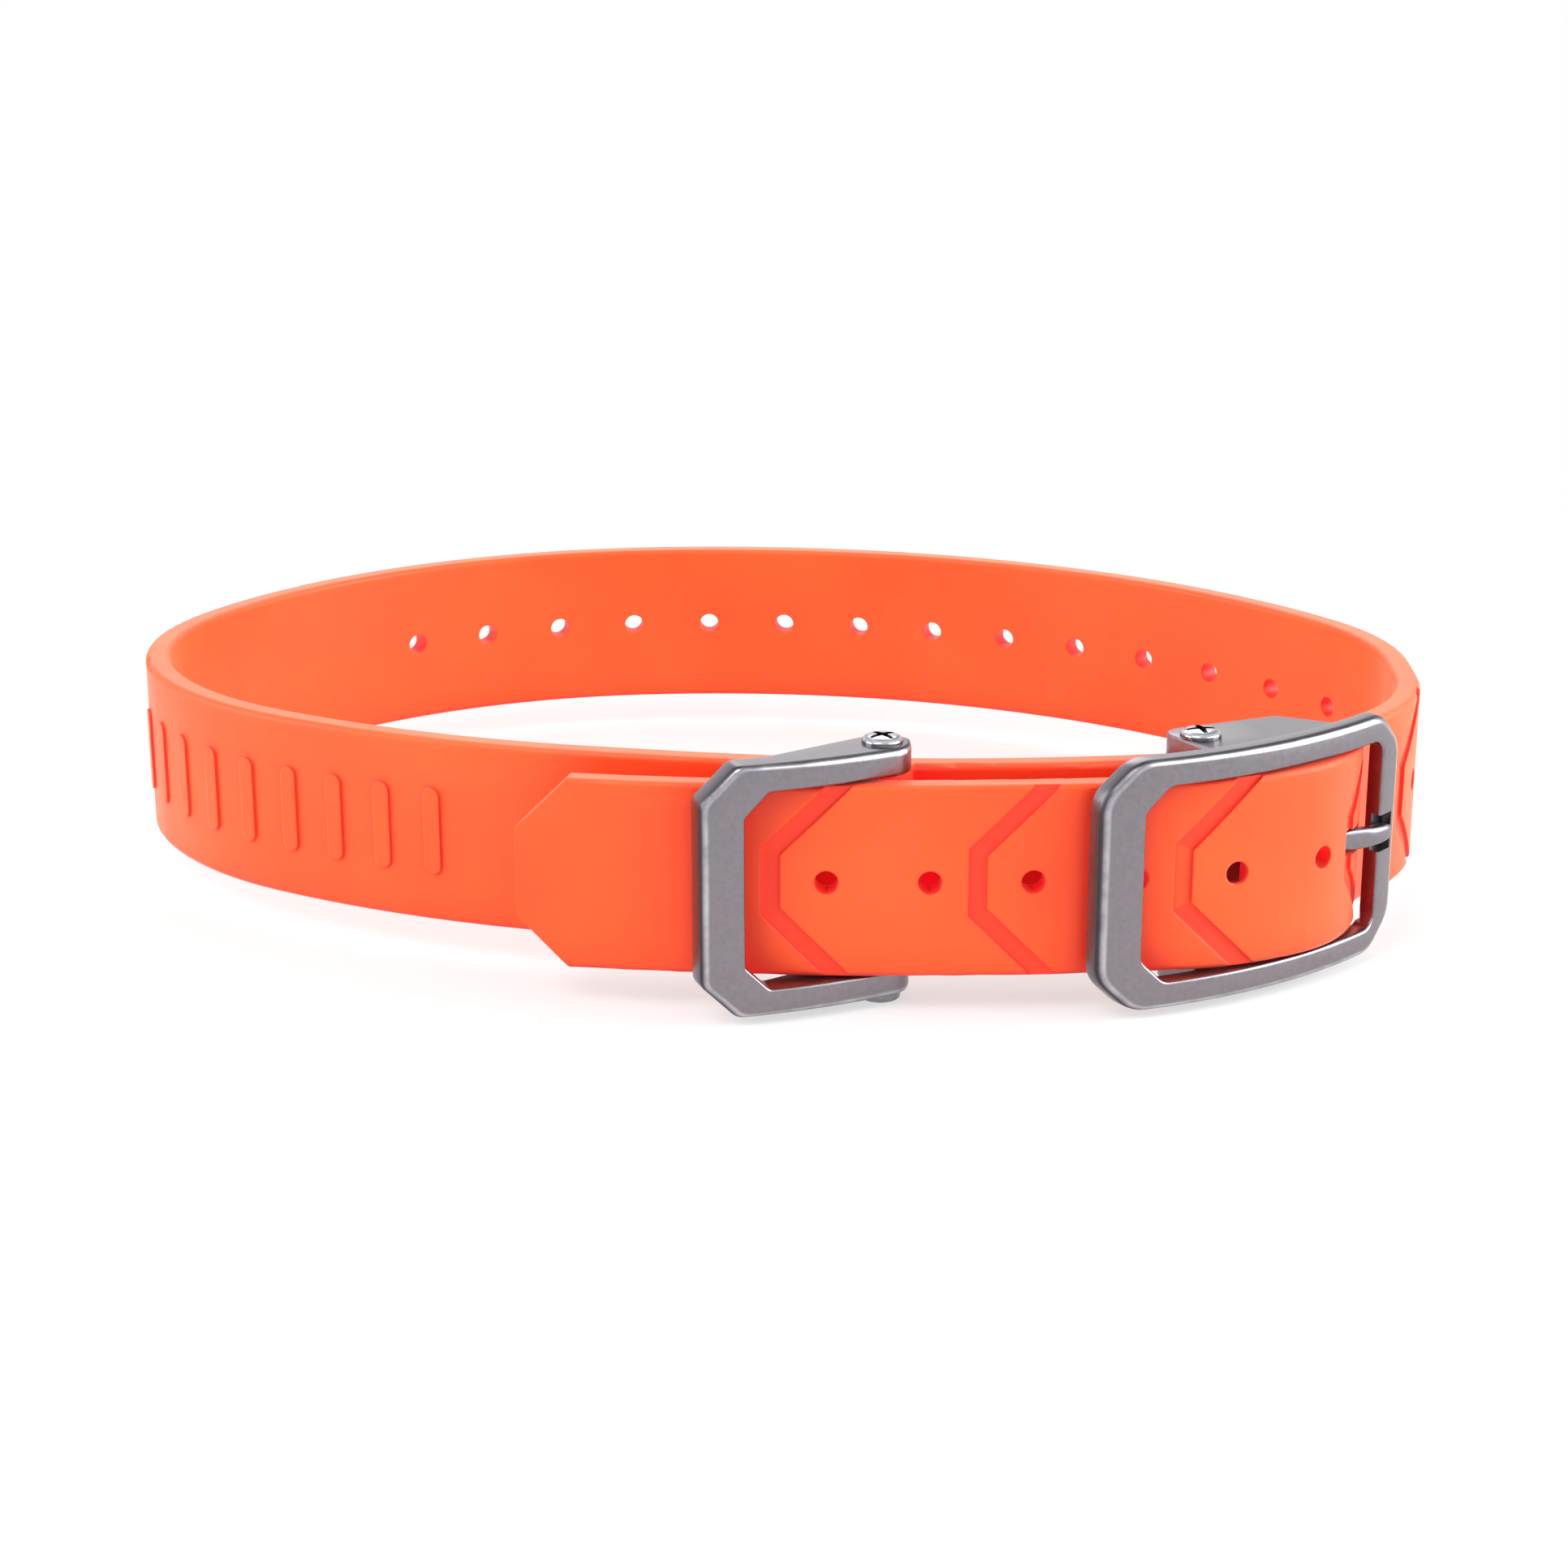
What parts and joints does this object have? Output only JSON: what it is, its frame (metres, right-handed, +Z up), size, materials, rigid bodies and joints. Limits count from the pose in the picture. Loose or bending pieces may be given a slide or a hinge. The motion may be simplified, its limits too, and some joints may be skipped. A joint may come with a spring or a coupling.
{
  "type": "dog collar",
  "caption": "Moulded strap collar, buckled into a loop, with adjusting holes, a curved pin buckle with a prong, and a C-shaped keeper that swings out for a leash.",
  "frame": {"origin": "under the middle of the collar's bounding box, on the surface that its lowest pin heads reach", "axes": "+Z up across the strap's width, +X to the right along the front lap, +Y from the buckle to the back of the neck"},
  "size_m": [0.185, 0.145, 0.0354],
  "materials": {
    "strap": "satin moulded orange thermoplastic polyurethane",
    "cast_metal": "satin gunmetal plating",
    "fastener": "bright nickel plating"
  },
  "bodies": {
    "strap": {"strap": "strap"},
    "buckle": {"buckle_frame": "cast_metal", "buckle_pin": "fastener", "buckle_screw": "fastener"},
    "prong": {"buckle_prong": "cast_metal"},
    "keeper": {"keeper_loop": "cast_metal", "keeper_pin": "fastener", "keeper_screw": "fastener"}
  },
  "joints": [
    {"name": "buckle_rock", "type": "hinge", "parent": "strap", "child": "buckle", "pos_m": [0.05459, -0.05762, 0.0177], "axis": [0, 0, -1], "range_deg": [0, 1.8]},
    {"name": "prong_lift", "type": "hinge", "parent": "buckle", "child": "prong", "pos_m": [0.05459, -0.05762, 0.0177], "axis": [0, 0, -1], "range_deg": [0, 1]},
    {"name": "keeper_swing", "type": "hinge", "parent": "strap", "child": "keeper", "pos_m": [0.01404, -0.06041, 0.0177], "axis": [0, 0, 1], "range_deg": [0, 120]}
  ]
}
